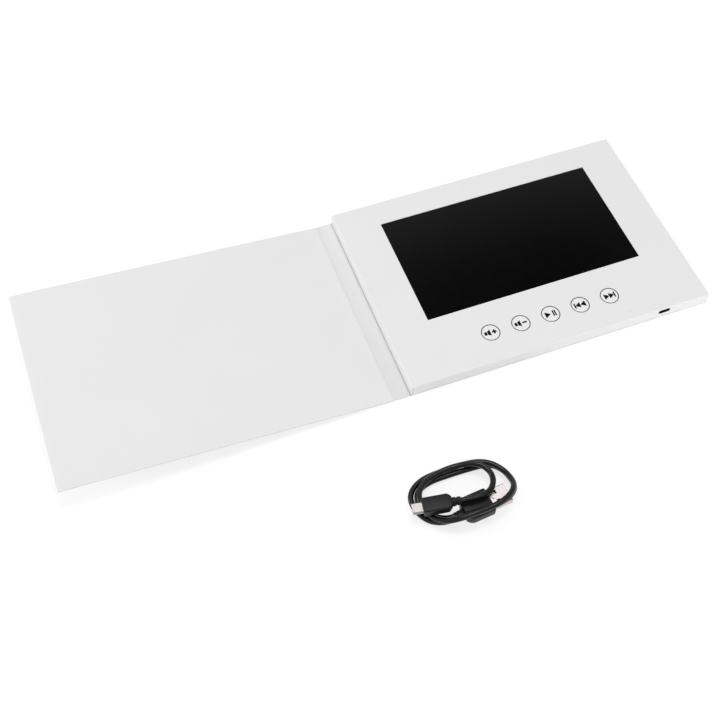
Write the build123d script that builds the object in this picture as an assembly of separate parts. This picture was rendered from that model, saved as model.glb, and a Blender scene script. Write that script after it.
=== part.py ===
from build123d import *
import math
import os

# Video brochure: an A5 card block with a screen, buttons and a charging socket, a soft card
# cover on a spine, and its charging lead. Millimetres, +Z up. The model is built from the
# block's front left corner, at the height of the table, and moved to its frame when written:
# the origin is below the middle of the open brochure.

# Block and card
BLOCK_W = 210.0  # left to right
BLOCK_D = 148.0  # front to back
BLOCK_H = 8.8  # table to face
CASE_CARD = 0.6  # two plies of card glued together: back, spine and cover
PLY = CASE_CARD / 2
FACE_CARD = 0.45  # card folded over the electronics
FACE_EDGE_R = 0.5  # how round the folded edges are

# Spine and cover
HINGE_OUT = 0.65  # first crease, outside the block's left side
CREASE_ROOM = 0.35  # from a crease's axis to the panel beside it
SPINE_W = 10.2  # crease to crease
COVER_L = 209.3  # crease to the cover's free edge
COVER_TILT = 4.8  # degrees that the open cover stands up by

# Screen and face
FACE_MIDDLE = 105.35  # screen and buttons are centred here
WINDOW_W = 153.0
WINDOW_D = 85.2
WINDOW_Y = 44.2  # front edge of the window
LCD_W = 164.9
LCD_D = 100.0
LCD_T = 3.0
LCD_FRONT = 35.4  # front edge of the screen module
LCD_WALL = 0.4
GLASS_T = 1.2

# Buttons
BUTTON_NAMES = ["volume_up", "volume_down", "play_pause", "previous", "next"]
BUTTON_PITCH = 21.18
BUTTON_Y = 21.6
BUTTON_R = 5.85
BUTTON_HOLE_R = 6.15
PAD_R = 4.5
PAD_T = 0.95
STEM_R = 1.75
STEM_L = 2.05
SWITCH_SIZE = 6.0
SWITCH_H = 3.5

# Charging socket and boards
PORT_X = 177.3
PORT_Z = 5.8
PORT_SLOT_W = 8.0
PORT_SLOT_H = 3.1
SOCKET_H = 2.5
SOCKET_L = 5.6
SOCKET_Y = 0.5
BOARD_T = 1.0
SENSOR_X = 154.5
SENSOR_Y = 6.0
MAGNET_R = 4.0
MAGNET_T = 0.3

# Charging lead
CORD_D = 3.5
FLOOR_Z = 1.8  # height of the cord's middle where it lies on the table
LEAD_X = 3.5  # middle of the coiled lead, from the block's front left corner
LEAD_Y = -72.4
USB_A_PLACE = (12.2, -12.4, 3.6)  # root of the plug's metal shell, from the coil's middle
USB_A_TURN = 5.0
USB_A_OVERMOULD = (18.0, 15.6, 7.2)
MICRO_PLACE = (-28.2, -5.9, 11.0)
MICRO_TURN = 171.0
MICRO_OVERMOULD = (17.5, 9.8, 6.6)
RELIEF_L = 5.25
USB_A_LEAVE = 5.2  # straight run of cord out of each strain relief
MICRO_LEAVE = 8.5

# Cord from the large plug to the small one, from the coil's middle: two turns and a half
LEAD_ROUTE = [
    # first turn, inside: under the small plug, round the left, along the back
    (-21.4, -12.9, 2.2), (-26.2, -8.8, FLOOR_Z), (-28.9, -3.0, FLOOR_Z), (-28.6, 3.0, FLOOR_Z),
    (-25.3, 8.0, FLOOR_Z), (-19.6, 11.0, FLOOR_Z), (-12.0, 12.8, FLOOR_Z), (-3.2, 13.7, FLOOR_Z),
    (6.4, 13.7, FLOOR_Z), (15.0, 12.2, FLOOR_Z), (22.0, 8.6, FLOOR_Z), (26.6, 3.4, FLOOR_Z),
    # over the large plug
    (28.4, -2.4, 3.2), (27.2, -8.2, 6.4), (23.7, -12.6, 8.7), (17.6, -15.3, 9.3),
    (9.8, -16.3, 9.5), (2.2, -16.8, 9.6), (-4.0, -17.3, 9.7), (-9.6, -18.0, 7.5),
    (-14.4, -18.5, 4.3),
    # second turn, outside
    (-19.8, -18.3, 2.2), (-25.4, -16.0, FLOOR_Z), (-30.0, -11.2, FLOOR_Z), (-32.7, -5.0, FLOOR_Z),
    (-33.0, 1.8, FLOOR_Z), (-30.3, 8.6, FLOOR_Z), (-24.6, 13.8, FLOOR_Z), (-15.4, 16.9, FLOOR_Z),
    (-4.4, 18.0, FLOOR_Z), (7.0, 17.8, FLOOR_Z), (18.0, 15.8, FLOOR_Z), (26.4, 11.4, FLOOR_Z),
    (31.4, 4.7, FLOOR_Z), (33.0, -2.9, 2.9), (31.5, -10.3, 6.6), (26.6, -16.2, 8.8),
    (18.6, -19.5, 9.3), (9.6, -20.5, 9.5), (1.8, -21.0, 9.6), (-5.0, -21.4, 9.4),
    (-11.6, -22.3, 7.8), (-17.6, -21.2, 6.5),
    # third turn, lying on the other two, then across the large plug to the small one
    (-22.8, -17.8, 5.9), (-27.4, -13.0, 5.7), (-30.2, -7.0, 5.4), (-30.9, -0.4, 5.3),
    (-28.9, 6.0, 5.3), (-23.8, 11.2, 5.3), (-15.6, 14.5, 5.3), (-5.8, 15.8, 5.3),
    (4.6, 15.6, 5.5), (12.9, 13.6, 6.0), (18.6, 9.6, 6.2), (21.3, 4.0, 6.6),
    (21.0, -2.0, 8.0), (17.6, -7.2, 10.0), (12.0, -10.7, 11.0),
]

# Heights and places that follow from the above
INSIDE_Z = CASE_CARD  # floor of the block's inside
FACE_Z = BLOCK_H - FACE_CARD  # underside of the face card
LCD_Z = FACE_Z - LCD_T
LCD_X = FACE_MIDDLE - LCD_W / 2
WINDOW_X = FACE_MIDDLE - WINDOW_W / 2
BUTTON_XS = [FACE_MIDDLE + BUTTON_PITCH * (i - 2) for i in range(5)]
STEM_TOP = FACE_Z - PAD_T
BUTTON_BOARD_TOP = STEM_TOP - 0.95 - SWITCH_H
BUTTON_BOARD_T = 0.8
BOARD_TOP = PORT_Z - SOCKET_H / 2
BOARD_Z = BOARD_TOP - BOARD_T
SPINE_AXIS_X = -HINGE_OUT
COVER_AXIS_X = SPINE_AXIS_X - SPINE_W
TILT = math.radians(COVER_TILT)
REACH = -COVER_AXIS_X + COVER_L * math.cos(TILT) + PLY * math.sin(TILT)
FRAME_SHIFT = ((REACH - BLOCK_W) / 2, -BLOCK_D / 2, 0)


def slab(x, y, z):
    """A box from its lowest and highest x, y and z."""
    middle = [(low + high) / 2 for low, high in (x, y, z)]
    size = [high - low for low, high in (x, y, z)]
    return Pos(*middle) * Box(*size)


def post(x, y, z, radius):
    """An upright round bar between two heights."""
    return Pos(x, y, (z[0] + z[1]) / 2) * Cylinder(radius, z[1] - z[0])


def along_x(profile, start, length):
    """A profile drawn across X, carried along +X from start."""
    return extrude(Plane.YZ.offset(start) * profile, amount=length)


# Case: back, spine and cover


def back_panel():
    return slab((CREASE_ROOM - HINGE_OUT, BLOCK_W), (0, BLOCK_D), (0, CASE_CARD))


def spine_strip():
    """The strip has a round bead on each crease's axis, so it turns without opening a gap."""
    middle = Plane.XZ * Pos((SPINE_AXIS_X + COVER_AXIS_X) / 2, PLY)
    return extrude(middle * SlotCenterToCenter(SPINE_W, CASE_CARD), amount=-BLOCK_D)


def on_cover(shape):
    """From the cover's own frame, on its crease with the cover flat, to where it stands open."""
    return Pos(COVER_AXIS_X, 0, PLY) * Rot(0, COVER_TILT, 0) * shape


def magnet_in_cover():
    """The magnet lies over the opening sensor when the cover is shut."""
    along = SENSOR_X + HINGE_OUT
    return post(-along, SENSOR_Y, (-MAGNET_T / 2, MAGNET_T / 2), MAGNET_R)


def cover_ply(low, high):
    ply = slab((-COVER_L, -CREASE_ROOM), (0, BLOCK_D), (low, high))
    return on_cover(ply - magnet_in_cover())


# Block: face card and spacers


def face_card():
    """Card folded down on four sides, with the window, the button holes and the port."""
    outside = slab((0, BLOCK_W), (0, BLOCK_D), (INSIDE_Z, BLOCK_H))
    folds = outside.edges().filter_by(Axis.Z) + outside.faces().sort_by(Axis.Z)[-1].edges()
    inside = slab(
        (FACE_CARD, BLOCK_W - FACE_CARD), (FACE_CARD, BLOCK_D - FACE_CARD), (INSIDE_Z - 1, FACE_Z)
    )
    window = slab(
        (WINDOW_X, WINDOW_X + WINDOW_W), (WINDOW_Y, WINDOW_Y + WINDOW_D), (FACE_Z - 1, BLOCK_H + 1)
    )
    slot = extrude(
        Plane.XZ * Pos(PORT_X, PORT_Z) * RectangleRounded(PORT_SLOT_W, PORT_SLOT_H, 1.2),
        amount=FACE_CARD * 2,
        both=True,
    )
    card = fillet(folds, FACE_EDGE_R) - inside - window - slot
    for x in BUTTON_XS:
        card -= post(x, BUTTON_Y, (FACE_Z - 1, BLOCK_H + 1), BUTTON_HOLE_R)
    return card


def perimeter_spacer():
    """Greyboard rails inside the block's sides, cut away in front of the main board."""
    rail = 4.55
    low = FACE_CARD
    outside = slab((low, BLOCK_W - low), (low, BLOCK_D - low), (INSIDE_Z, FACE_Z))
    inner = low + rail
    inside = slab((inner, BLOCK_W - inner), (inner, BLOCK_D - inner), (INSIDE_Z - 1, FACE_Z + 1))
    board_bay = slab((148, BLOCK_W - inner), (0, inner + 1), (INSIDE_Z - 1, FACE_Z + 1))
    return outside - inside - board_bay


def screen_spacer():
    """A ring of greyboard below the screen, with a way out for the battery's leads."""
    rail = 8.0
    x = (LCD_X, LCD_X + LCD_W)
    y = (LCD_FRONT, LCD_FRONT + LCD_D)
    ring = slab(x, y, (INSIDE_Z, LCD_Z))
    ring -= slab((x[0] + rail, x[1] - rail), (y[0] + rail, y[1] - rail), (INSIDE_Z - 1, LCD_Z + 1))
    return ring - slab((134, 148), (y[0] - 1, y[0] + rail + 1), (INSIDE_Z - 1, LCD_Z + 1))


# Screen


def inside_lcd(z):
    x = (LCD_X + LCD_WALL, LCD_X + LCD_W - LCD_WALL)
    y = (LCD_FRONT + LCD_WALL, LCD_FRONT + LCD_D - LCD_WALL)
    return slab(x, y, z)


def lcd_metal_case():
    x = (LCD_X, LCD_X + LCD_W)
    y = (LCD_FRONT, LCD_FRONT + LCD_D)
    return slab(x, y, (LCD_Z, FACE_Z)) - inside_lcd((LCD_Z + LCD_WALL, FACE_Z + 1))


def lcd_light_guide():
    return inside_lcd((LCD_Z + LCD_WALL, FACE_Z - GLASS_T))


def lcd_glass():
    return inside_lcd((FACE_Z - GLASS_T, FACE_Z))


FLEX_X = (164.0, 192.0)
FLEX_T = 0.2
FLEX_CONNECTOR_Y = (27.0, 31.0)


def lcd_flex_cable():
    down = slab(FLEX_X, (LCD_FRONT - FLEX_T, LCD_FRONT), (BOARD_TOP + 0.45, FACE_Z - 0.7))
    forward = slab(
        FLEX_X, (FLEX_CONNECTOR_Y[1], LCD_FRONT), (BOARD_TOP + 0.45, BOARD_TOP + 0.45 + FLEX_T)
    )
    return down + forward


# Boards, socket and sensor


def main_board():
    board = slab((158, 203), (1, 34), (BOARD_Z, BOARD_TOP))
    tab = slab((149, 158), (1, 12), (BOARD_Z, BOARD_TOP))
    return board + tab


def board_pads():
    """Foam blocks that hold the main board at the height of its socket."""
    z = (INSIDE_Z, BOARD_Z)
    return [slab((162, 200), (8, 14), z), slab((162, 200), (26, 32), z), slab((150, 157), (3, 9), z)]


def on_board(x, y, height):
    return slab(x, y, (BOARD_TOP, BOARD_TOP + height))


def board_chips():
    """Processor, memory, amplifier, coil, connectors and small parts on the main board."""
    small = [on_board((194 + 2.2 * i, 195.6 + 2.2 * i), (3, 3.8), 0.6) for i in range(4)]
    return small + [
        on_board((184, 196), (11, 23), 1.2),
        on_board((166, 174), (14, 20), 0.8),
        on_board((176, 181), (14, 19), 0.9),
        on_board((160, 165), (8, 13), 2.0),
        on_board(FLEX_X, FLEX_CONNECTOR_Y, 1.0),
        on_board((159, 163), (28, 33), 2.4),
        on_board((151, 154.5), (8.4, 11.8), 1.8),
    ]


def socket_profile(wide, narrow, height):
    """The small socket's mouth: flat below, with its two upper corners cut off."""
    return make_face(
        Polyline(
            (-wide / 2, -height / 2),
            (wide / 2, -height / 2),
            (wide / 2, 0),
            (narrow / 2, height / 2),
            (-narrow / 2, height / 2),
            (-wide / 2, 0),
            close=True,
        )
    )


def socket_place(distance):
    return Plane.XZ.offset(-distance) * Pos(PORT_X, PORT_Z)


def usb_socket_shell():
    outside = socket_place(SOCKET_Y) * socket_profile(7.5, 6.0, SOCKET_H)
    inside = socket_place(SOCKET_Y - 1) * socket_profile(7.0, 5.6, 2.0)
    return extrude(outside, amount=-SOCKET_L) - extrude(inside, amount=-SOCKET_L)


def usb_socket_tongue():
    """Plastic block at the back of the socket, with the tongue that carries the contacts."""
    end = SOCKET_Y + SOCKET_L - 1
    block = slab((PORT_X - 2.6, PORT_X + 2.6), (end - 0.8, end), (PORT_Z - 0.8, PORT_Z + 0.8))
    tongue = slab((PORT_X - 1.9, PORT_X + 1.9), (SOCKET_Y + 0.9, end), (PORT_Z, PORT_Z + 0.6))
    return block + tongue


def opening_sensor():
    """Three-legged magnetic switch that stands just below the face card."""
    body_z = (BOARD_TOP + 0.5, FACE_Z - 0.2)
    body = slab((SENSOR_X - 2.05, SENSOR_X + 2.05), (SENSOR_Y - 0.8, SENSOR_Y + 0.8), body_z)
    legs = [
        slab((x - 0.2, x + 0.2), (SENSOR_Y - 0.2, SENSOR_Y + 0.2), (BOARD_TOP, body_z[0]))
        for x in (SENSOR_X - 1.27, SENSOR_X, SENSOR_X + 1.27)
    ]
    return [body] + legs


# Power and sound


def tube(points, radii, diameter):
    path = FilletPolyline(*points, radius=radii)
    section = Plane(origin=path @ 0, z_dir=path % 0) * Circle(diameter / 2)
    return sweep(section, path=path)


BATTERY_X = (50.0, 132.0)
BATTERY_Y = (54.0, 114.0)
BATTERY_T = 4.0


def battery_cell():
    cell = slab(BATTERY_X, BATTERY_Y, (INSIDE_Z, INSIDE_Z + BATTERY_T))
    return fillet(cell.edges().filter_by(Axis.Y), 1.2)


def battery_leads():
    """Two thin wires from the cell, through the gap in the spacer, to the main board."""
    wires = []
    for side in (0, 1):
        inner = 1.4 * side
        points = [
            (124 - inner, BATTERY_Y[0], 2.6),
            (124 - inner, 51 - inner, 2.6),
            (127 - inner, 48 - inner, 1.5),
            (137.5 - inner, 46 - inner, 1.5),
            (142.5 - inner, 33 - inner, 1.5),
            (151, 31.8 - inner, 3.6),
            (155, 31.6 - inner, 5.6),
            (159, 31.6 - inner, 5.6),
        ]
        wires.append(tube(points, 1.2, 1.0))
    return wires


SPEAKER = (24.0, 19.6)
SPEAKER_R = 14.0
BASKET_Z = (2.6, 5.8)


def speaker_magnet():
    return post(*SPEAKER, (INSIDE_Z, BASKET_Z[0]), 7.0)


def speaker_basket():
    wall = 0.8
    cup = post(*SPEAKER, BASKET_Z, SPEAKER_R)
    return cup - post(*SPEAKER, (BASKET_Z[0] + wall, BASKET_Z[1] + 1), SPEAKER_R - wall)


def speaker_cone():
    height = 1.9
    dish = Cone(5.0, SPEAKER_R - 0.8, height)
    place = Pos(*SPEAKER, BASKET_Z[1] - height / 2)
    return place * (dish - Pos(0, 0, 0.3) * dish)


def speaker_gasket():
    z = (BASKET_Z[1], FACE_Z)
    return post(*SPEAKER, z, SPEAKER_R) - post(*SPEAKER, z, SPEAKER_R - 2)


def speaker_leads():
    """Two thin wires in front of the button board, to the tab of the main board."""
    wires = []
    for side in (0, 1):
        inner = 1.3 * side
        points = [
            (SPEAKER[0] + SPEAKER_R - 0.3, SPEAKER[1] - inner, 3.8),
            (41.5 - inner, 17 - inner, 1.5),
            (46 - inner, 12 - inner, 1.5),
            (143 - inner, 12 - inner, 1.5),
            (145.5, 10.8 - inner, 5.4),
            (151, 10.8 - inner, 5.4),
        ]
        wires.append(tube(points, 1.2, 0.9))
    return wires


# Buttons

BUTTON_BOARD_X = (56.0, 155.0)
BUTTON_BOARD_Y = (15.5, 27.5)


def button_board_pad():
    return slab(BUTTON_BOARD_X, BUTTON_BOARD_Y, (INSIDE_Z, BUTTON_BOARD_TOP - BUTTON_BOARD_T))


def button_board():
    z = (BUTTON_BOARD_TOP - BUTTON_BOARD_T, BUTTON_BOARD_TOP)
    return slab(BUTTON_BOARD_X, BUTTON_BOARD_Y, z)


def button_ribbon():
    """Flat ribbon from the button board up to the main board."""
    y = (18, 25)
    thick = 0.2
    low = slab((151, 155.6), y, (BUTTON_BOARD_TOP, BUTTON_BOARD_TOP + thick))
    rise = slab((155.6 - thick, 155.6), y, (BUTTON_BOARD_TOP, BOARD_TOP + thick))
    high = slab((155.6 - thick, 161), y, (BOARD_TOP, BOARD_TOP + thick))
    return low + rise + high


def switch_bodies():
    half = SWITCH_SIZE / 2
    top = BUTTON_BOARD_TOP + SWITCH_H
    bodies = []
    for x in BUTTON_XS:
        body = slab(
            (x - half, x + half), (BUTTON_Y - half, BUTTON_Y + half), (BUTTON_BOARD_TOP, top)
        )
        bodies.append(body - post(x, BUTTON_Y, (top - 1.6, top + 1), STEM_R + 0.25))
    return bodies


def button_pieces(name, x):
    """One button: the card disc, the foam pad below it and the switch's stem."""
    return {
        f"button_cap_{name}": post(x, BUTTON_Y, (FACE_Z, BLOCK_H), BUTTON_R),
        f"button_pad_{name}": post(x, BUTTON_Y, (STEM_TOP, FACE_Z), PAD_R),
        f"switch_stem_{name}": post(x, BUTTON_Y, (STEM_TOP - STEM_L, STEM_TOP), STEM_R),
    }


# Charging lead: each plug has its own frame, with the metal shell along +X from the origin


def strain_relief(start, widths):
    """Rings of rubber that grow thinner away from the plug, with narrow necks between them."""
    ring = RELIEF_L / (len(widths) + 0.4 * (len(widths) - 1))
    piece = None
    for number, width in enumerate(widths):
        near = start - number * 1.4 * ring
        body = along_x(Circle(width / 2), near - ring, ring)
        body = fillet(body.edges().filter_by(GeomType.CIRCLE), 0.3)
        piece = body if piece is None else piece + body
        if number:
            piece += along_x(Circle(CORD_D / 2 + 0.1), near - 0.3, 0.4 * ring + 0.6)
    return piece


def usb_a_plug_shell():
    tube_wall = RectangleRounded(12, 4.5, 0.6) - RectangleRounded(11.4, 3.9, 0.3)
    shell = along_x(tube_wall, 0, 12)
    for side in (-1, 1):
        shell -= slab((3.2, 5.4), (side * 2.9 - 1.1, side * 2.9 + 1.1), (-3, 3))
    return shell


def usb_a_plug_tongue():
    return slab((0, 11.4), (-5.6, 5.6), (-1.85, 0))


def usb_a_plug_contacts():
    outer = [slab((1.5, 10.4), (y - 0.6, y + 0.6), (0, 0.2)) for y in (-3.5, 3.5)]
    return outer + [slab((1.5, 9.4), (y - 0.5, y + 0.5), (0, 0.2)) for y in (-1, 1)]


def usb_a_plug_overmould():
    length, width, height = USB_A_OVERMOULD
    body = slab((-length, 0), (-width / 2, width / 2), (-height / 2, height / 2))
    body = fillet(body.edges().filter_by(Axis.Z).group_by(Axis.X)[0], 5.0)
    return fillet(body.edges().filter_by(Axis.Z, reverse=True), 0.8)


def micro_plug_shell():
    """Metal shell with its narrow face up."""
    outside = along_x(socket_profile(6.85, 5.4, 1.8), 0, 6.2)
    return outside - along_x(socket_profile(6.35, 5.1, 1.3), -1, 9)


def micro_plug_insulator():
    return slab((0, 5.4), (-2.9, 2.9), (-0.65, -0.15))


def micro_plug_contacts():
    return [slab((0.8, 4.8), (y - 0.2, y + 0.2), (-0.15, -0.05)) for y in (-1.3, -0.65, 0, 0.65, 1.3)]


def micro_plug_overmould():
    length, width, height = MICRO_OVERMOULD
    body = slab((-length, 0), (-width / 2, width / 2), (-height / 2, height / 2))
    shoulders = body.edges().filter_by(Axis.Z).group_by(Axis.X)[0]
    body = chamfer(shoulders, 2.4)
    return fillet(body.edges().filter_by(Axis.Z, reverse=True), 0.8)


def usb_a_place():
    x, y, z = USB_A_PLACE
    return Pos(LEAD_X + x, LEAD_Y + y, z) * Rot(0, 0, USB_A_TURN)


def micro_place():
    x, y, z = MICRO_PLACE
    return Pos(LEAD_X + x, LEAD_Y + y, z) * Rot(0, 0, MICRO_TURN)


def cord_start(place, overmould, leave):
    """The end of a strain relief, and a point straight out of it."""
    end = overmould[0] + RELIEF_L
    return [(place * Pos(-end - run, 0, 0)).position for run in (0, leave)]


def lead_route():
    """The cord's points, from the large plug's strain relief to the small plug's."""
    large = cord_start(usb_a_place(), USB_A_OVERMOULD, USB_A_LEAVE)
    small = cord_start(micro_place(), MICRO_OVERMOULD, MICRO_LEAVE)
    middle = [Vector(LEAD_X + x, LEAD_Y + y, z) for x, y, z in LEAD_ROUTE]
    return large + middle + small[::-1]


def bend_radii(points):
    """At each corner, 0.45 of the shorter run over the tangent of half the turn."""
    radii = []
    for before, corner, after in zip(points, points[1:], points[2:]):
        arriving = corner - before
        leaving = after - corner
        half_turn = math.radians(arriving.get_angle(leaving)) / 2
        radii.append(0.45 * min(arriving.length, leaving.length) / math.tan(half_turn))
    return radii


def lead_cable():
    points = lead_route()
    radii = bend_radii(points)
    cable = tube(points, radii, CORD_D)
    length = FilletPolyline(*points, radius=radii).length
    print("cord bend radii, mm:", [round(radius, 1) for radius in radii])
    print("cord length", round(length, 1), "volume", round(cable.volume, 1))
    print("section times length", round(math.pi * CORD_D**2 / 4 * length, 1))
    return cable


def placed(place, shape):
    if isinstance(shape, list):
        return [place * piece for piece in shape]
    return place * shape


def lead_pieces():
    large = usb_a_place()
    small = micro_place()
    return {
        "lead_cable": lead_cable(),
        "usb_a_plug_shell": placed(large, usb_a_plug_shell()),
        "usb_a_plug_tongue": placed(large, usb_a_plug_tongue()),
        "usb_a_plug_contacts": placed(large, usb_a_plug_contacts()),
        "usb_a_plug_overmould": placed(large, usb_a_plug_overmould()),
        "usb_a_strain_relief": placed(large, strain_relief(-USB_A_OVERMOULD[0], (5.0, 4.6, 4.2))),
        "micro_plug_shell": placed(small, micro_plug_shell()),
        "micro_plug_insulator": placed(small, micro_plug_insulator()),
        "micro_plug_contacts": placed(small, micro_plug_contacts()),
        "micro_plug_overmould": placed(small, micro_plug_overmould()),
        "micro_strain_relief": placed(small, strain_relief(-MICRO_OVERMOULD[0], (5.0, 4.5))),
    }


def case_pieces():
    return {
        "back_panel": back_panel(),
        "spine_strip": spine_strip(),
        "cover_outer_ply": cover_ply(-PLY, 0),
        "cover_inner_ply": cover_ply(0, PLY),
        "cover_magnet": on_cover(magnet_in_cover()),
    }


def block_pieces():
    return {
        "face_card": face_card(),
        "perimeter_spacer": perimeter_spacer(),
        "screen_spacer": screen_spacer(),
        "lcd_metal_case": lcd_metal_case(),
        "lcd_light_guide": lcd_light_guide(),
        "lcd_glass": lcd_glass(),
        "lcd_flex_cable": lcd_flex_cable(),
        "main_board": main_board(),
        "board_pads": board_pads(),
        "board_chips": board_chips(),
        "usb_socket_shell": usb_socket_shell(),
        "usb_socket_tongue": usb_socket_tongue(),
        "opening_sensor": opening_sensor(),
        "battery_cell": battery_cell(),
        "battery_leads": battery_leads(),
        "speaker_magnet": speaker_magnet(),
        "speaker_basket": speaker_basket(),
        "speaker_cone": speaker_cone(),
        "speaker_gasket": speaker_gasket(),
        "speaker_leads": speaker_leads(),
        "button_board_pad": button_board_pad(),
        "button_board": button_board(),
        "button_ribbon": button_ribbon(),
        "switch_bodies": switch_bodies(),
    }


def main():
    os.makedirs("parts", exist_ok=True)
    pieces = {**case_pieces(), **block_pieces(), **lead_pieces()}
    for name, x in zip(BUTTON_NAMES, BUTTON_XS):
        pieces.update(button_pieces(name, x))
    for name, shape in pieces.items():
        solids = shape if isinstance(shape, list) else [shape]
        moved = [Pos(*FRAME_SHIFT) * solid for solid in solids]
        whole = moved[0] if len(moved) == 1 else Compound(children=moved)
        export_step(whole, f"parts/{name}.step")


main()
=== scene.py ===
"""An open video brochure with its charging lead: card case, screen block, buttons and lead."""

import math

import bpy
import numpy as np
from mathutils import Matrix, Vector


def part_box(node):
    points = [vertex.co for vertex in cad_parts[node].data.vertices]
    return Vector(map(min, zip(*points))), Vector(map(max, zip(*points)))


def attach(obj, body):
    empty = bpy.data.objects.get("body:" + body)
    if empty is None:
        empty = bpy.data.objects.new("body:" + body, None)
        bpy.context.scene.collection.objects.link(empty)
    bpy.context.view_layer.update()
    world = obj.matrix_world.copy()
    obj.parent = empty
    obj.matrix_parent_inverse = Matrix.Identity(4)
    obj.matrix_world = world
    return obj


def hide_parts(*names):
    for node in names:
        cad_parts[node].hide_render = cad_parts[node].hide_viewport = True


bl_info = {
    "name": "Video Brochure",
    "version": (1, 0, 0),
    "blender": (4, 5, 0),
    "location": "3D View > Sidebar > Brochure",
    "description": "Dresses an open card video brochure and its coiled charging lead",
    "category": "Object",
}

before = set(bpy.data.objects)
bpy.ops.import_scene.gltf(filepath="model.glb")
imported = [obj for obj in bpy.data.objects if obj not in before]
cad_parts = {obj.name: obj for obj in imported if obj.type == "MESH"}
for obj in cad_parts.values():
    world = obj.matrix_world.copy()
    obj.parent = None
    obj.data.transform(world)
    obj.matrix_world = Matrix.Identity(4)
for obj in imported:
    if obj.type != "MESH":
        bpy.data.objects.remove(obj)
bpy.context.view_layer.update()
MM = 0.001
BUTTON_NAMES = ("volume_up", "volume_down", "play_pause", "previous", "next")

# Sizes in millimetres. Places on the block are measured from its front left corner at the table.
BLOCK_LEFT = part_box("face_card")[0].x / MM
BLOCK_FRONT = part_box("face_card")[0].y / MM
BLOCK_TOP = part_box("face_card")[1].z / MM
BLOCK_W = 210.0
BLOCK_D = 148.0
CARD = 0.6  # case card
HINGE_OUT = 0.65  # first crease, outside the block's left side
CREASE_ROOM = 0.35  # from a crease's axis to the panel beside it
SPINE_W = 10.2
COVER_L = 209.3
COVER_TILT = math.radians(4.8)
SENSOR_X = 154.5  # the opening sensor, and the cover's magnet over it when shut
SENSOR_Y = 6.0
FACE_CARD = 0.45
FACE_MIDDLE = 105.35
SPOT_R = 1.9  # spots pressed into the face card
WINDOW = (28.85, 44.2, 153.0, 85.2)  # left, front, width, depth
PRESSED_AT = (5.1, 91.4)  # one spot; the other is over the sensor
PORT = (177.3, 5.8, 8.0, 3.1, 1.2)  # middle, its height, width, height, corner radius
BUTTON_PITCH = 21.18
BUTTON_Y = 21.6
CAP_R = 5.85
HOLE_R = 6.15
RING_INSET = (0.22, 0.04)  # printed ring's two edges, in from the cap's rim
HOLE_SHADOW_RING = (-0.02, 0.08)  # dark ring round a hole, out from its rim: painted shadow in the gap round the cap
SUNK = 0.03  # how far print reaches into the card below it
RING_PROUD = 0.006
SYMBOL_PROUD = 0.008
CORD_D = 3.5
RELIEF_L = 5.25
LEAD_MIDDLE = (3.5, -72.4)
USB_A_PLACE = (12.2, -12.4, 3.6)
USB_A_TURN = 5.0
USB_A_BODY = (18.0, 15.6, 7.2)
USB_A_SHELL_TOP = 2.25
MICRO_PLACE = (-28.2, -5.9, 11.0)
MICRO_TURN = 171.0
MICRO_BODY = (17.5, 9.8, 6.6)


def from_block(points):
    """Points measured from the block's front left corner, in the shared frame's millimetres."""
    return np.asarray(points, float) + (BLOCK_LEFT, BLOCK_FRONT, 0)


# -------- settings


def colour_setting(name, description, default):
    """A colour, as red, green and blue from 0 to 1."""
    return bpy.props.FloatVectorProperty(
        name=name, description=description, subtype="COLOR", size=3, min=0, max=1, default=default
    )


def length_setting(name, description, millimetres):
    """A length, given in millimetres and kept in metres."""
    return bpy.props.FloatProperty(
        name=name, description=description, default=millimetres * MM, min=0, unit="LENGTH",
        precision=5,
    )


def power_setting(name, description, watts):
    """A lamp's power in watts."""
    return bpy.props.FloatProperty(
        name=name, description=description, default=watts, min=0, unit="POWER"
    )


class BrochureCardSettings(bpy.types.PropertyGroup):
    """Sizes and colours of the card case."""

    white: colour_setting("Card", "Laminated white card", (0.862,) * 3)
    # The spine's white is darker than the case card's: painted shade from the block beside it.
    spine: colour_setting("Spine", "Card of the spine strip", (0.822,) * 3)
    cap: colour_setting("Buttons", "Card discs of the buttons", (0.885,) * 3)
    core: colour_setting("Card edge", "Cut edge of the board inside the card",
                         (0.66, 0.655, 0.645))
    ink: colour_setting("Ink", "Printed rings and symbols", (0.0025,) * 3)
    crown: length_setting("Crown", "How far the open cover's middle bows up", 0.5)


class BrochureLeadSettings(bpy.types.PropertyGroup):
    """Sizes and colours of the charging lead."""

    rubber: colour_setting("Cord", "Soft black jacket of the cord", (0.004, 0.004, 0.0042))
    mould: colour_setting("Plug bodies", "Black moulded plug bodies", (0.009, 0.009, 0.0093))
    nickel: colour_setting("Large plug's metal", "Nickel plated shell of the large plug",
                           (0.64, 0.58, 0.575))
    # The small plug's metal is a darker copy of the large plug's nickel: painted shade, toning
    # down the bright reflection on its top.
    steel: colour_setting("Small plug's metal", "Brushed steel shell of the small plug",
                          (0.445, 0.395, 0.39))
    cord: length_setting("Cord", "Diameter of the cord", CORD_D)


class BrochureStageSettings(bpy.types.PropertyGroup):
    """Floor, light and camera."""

    key: power_setting("Key light", "Power of the soft lamp overhead", 5.9)
    left: power_setting("Left light", "Power of the soft lamp left of the cover", 1.6)
    front: power_setting("Front light", "Power of the small lamp at the block's right", 0.185)
    fill: power_setting("Front fill", "Power of the low lamp in front", 0.28)
    sky: bpy.props.FloatProperty(
        name="Surround", description="Brightness of the white surround", default=0.64, min=0
    )
    lens: bpy.props.FloatProperty(
        name="Lens", description="Focal length in millimetres on a 36 mm sensor", default=57.125
    )


# -------- meshes


def in_scene(name, data):
    """An object that shows this mesh, curve, lamp or camera, linked to the scene."""
    made = bpy.data.objects.new(name, data)
    bpy.context.scene.collection.objects.link(made)
    return made


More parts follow.
